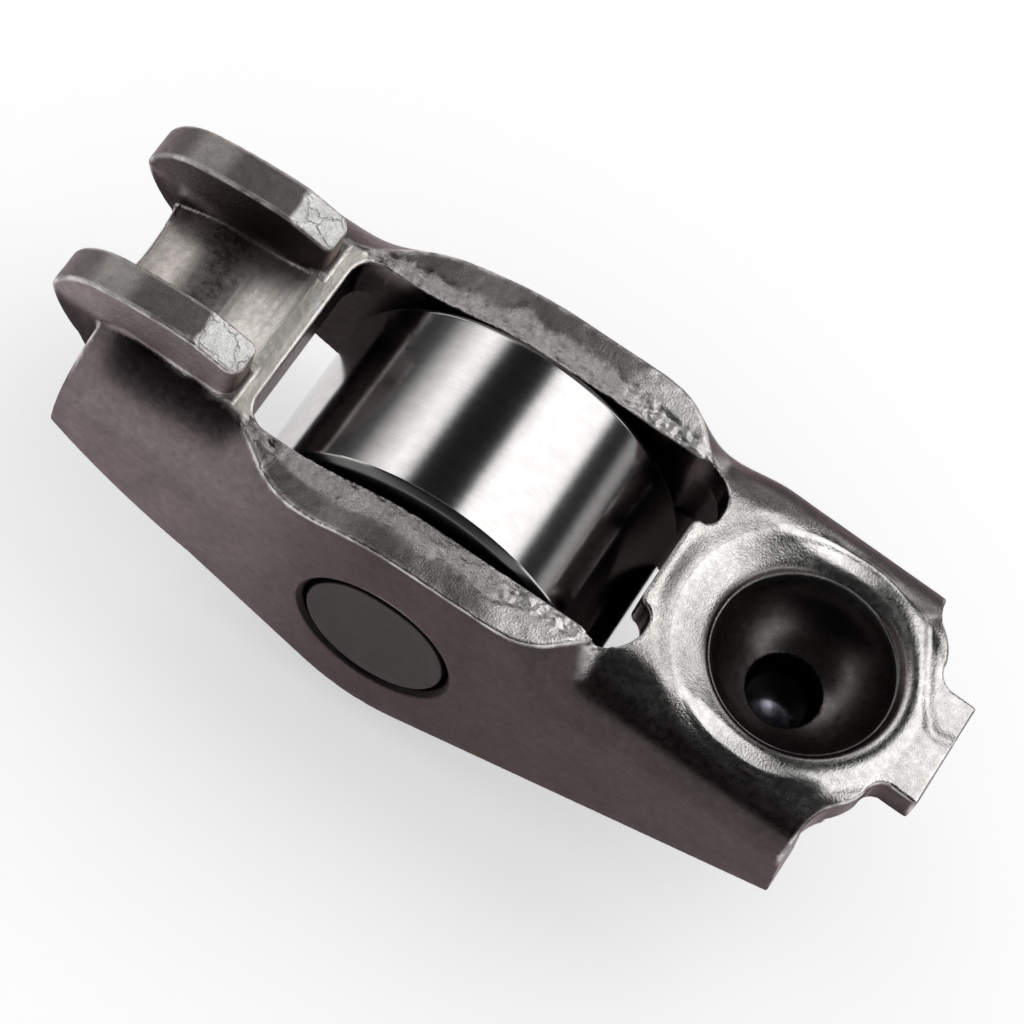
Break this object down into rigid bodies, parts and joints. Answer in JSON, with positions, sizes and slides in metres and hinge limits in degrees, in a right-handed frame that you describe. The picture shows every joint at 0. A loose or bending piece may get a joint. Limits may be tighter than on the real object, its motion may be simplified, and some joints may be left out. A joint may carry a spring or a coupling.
{
  "type": "roller rocker arm",
  "caption": "Pressed steel roller finger rocker arm: valve pad between guide ears, needle-bearing cam roller, and a drawn ball socket with an oil recess.",
  "frame": {"origin": "centre of the roller, on the axle's axis", "axes": "+X from the roller towards the ball socket, Y along the axle, +Z out of the web, the side on which the valve pad and the ball socket open; the roller stands out of the channel towards -Z as well"},
  "size_m": [0.0482, 0.0166, 0.0195],
  "materials": {
    "arm_steel": "tumbled, case-hardened, dark satin walls and bright worn web",
    "axle_steel": "turned end faces, staked rim",
    "roller_steel": "polished, fine lines round the rim",
    "needle_steel": "ground"
  },
  "bodies": {
    "arm": {"arm_body": "arm_steel", "axle": "axle_steel"},
    "roller": {"roller": "roller_steel"},
    "needle_set": {"needle_01": "needle_steel", "needle_02": "needle_steel", "needle_03": "needle_steel", "needle_04": "needle_steel", "needle_05": "needle_steel", "needle_06": "needle_steel", "needle_07": "needle_steel", "needle_08": "needle_steel", "needle_09": "needle_steel", "needle_10": "needle_steel", "needle_11": "needle_steel", "needle_12": "needle_steel", "needle_13": "needle_steel", "needle_14": "needle_steel", "needle_15": "needle_steel", "needle_16": "needle_steel", "needle_17": "needle_steel", "needle_18": "needle_steel", "needle_19": "needle_steel"}
  },
  "joints": [
    {"name": "roller_spin", "type": "hinge", "parent": "arm", "child": "roller", "pos_m": [0, 0, 0], "axis": [0, 1, 0], "continuous": true},
    {"name": "needle_orbit", "type": "hinge", "parent": "arm", "child": "needle_set", "pos_m": [0, 0, 0], "axis": [0, 1, 0], "continuous": true}
  ],
  "couplings": [
    {"joint": "needle_orbit", "follows": "roller_spin", "ratio": 0.57906}
  ]
}
